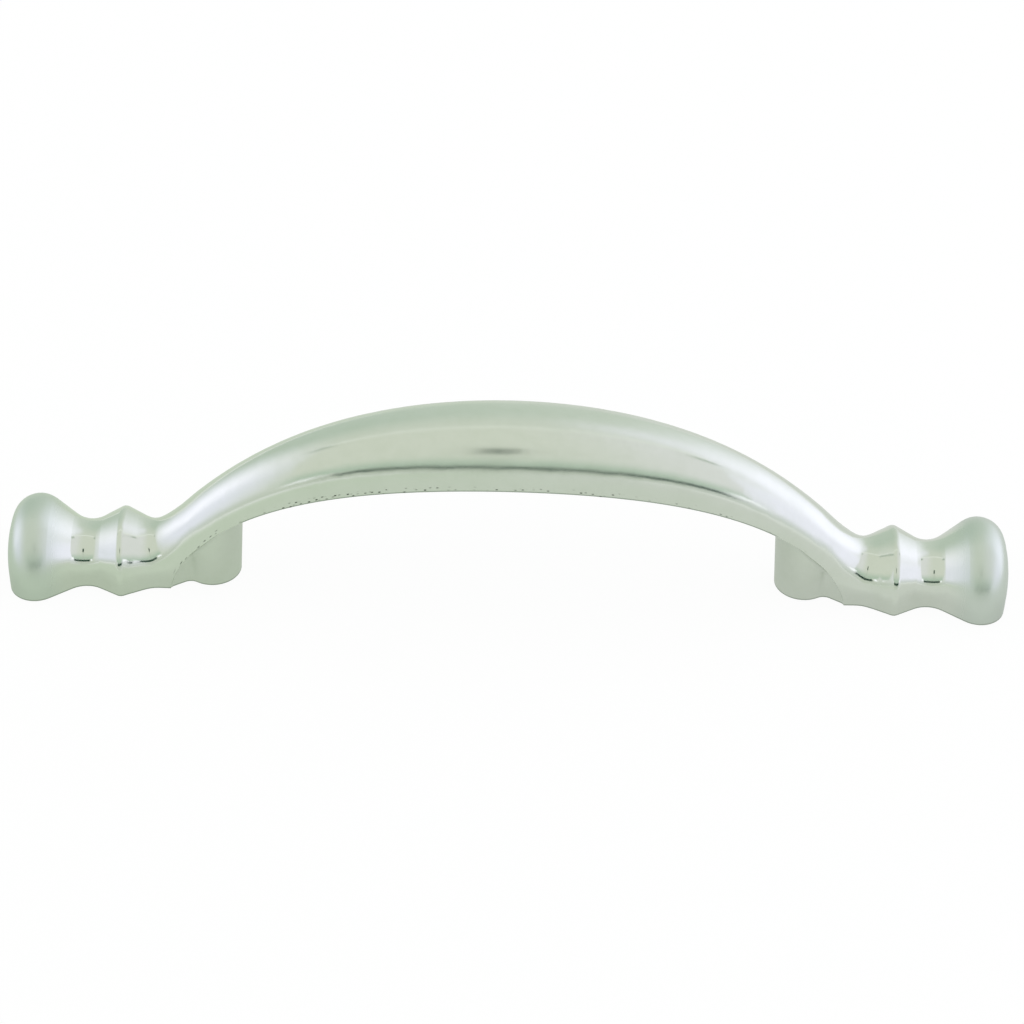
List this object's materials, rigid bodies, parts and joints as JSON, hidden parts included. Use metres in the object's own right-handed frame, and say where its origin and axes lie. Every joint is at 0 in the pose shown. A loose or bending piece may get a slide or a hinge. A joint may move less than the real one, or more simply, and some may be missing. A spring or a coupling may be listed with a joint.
{
  "type": "drawer pull",
  "caption": "Arched drawer pull of nickel-plated die-cast metal: half-round tapering bow, knobbed ends of turned form, flat back and tapped screw posts.",
  "frame": {"origin": "on the flat back plane, midway between the screw holes", "axes": "+X along the pull, +Z away from the drawer front, +Y across the pull"},
  "size_m": [0.1286, 0.015, 0.0268],
  "materials": {
    "nickel_plate": "polished to satin-bright nickel plating"
  },
  "bodies": {
    "root": {"pull_casting": "nickel_plate"}
  },
  "joints": []
}
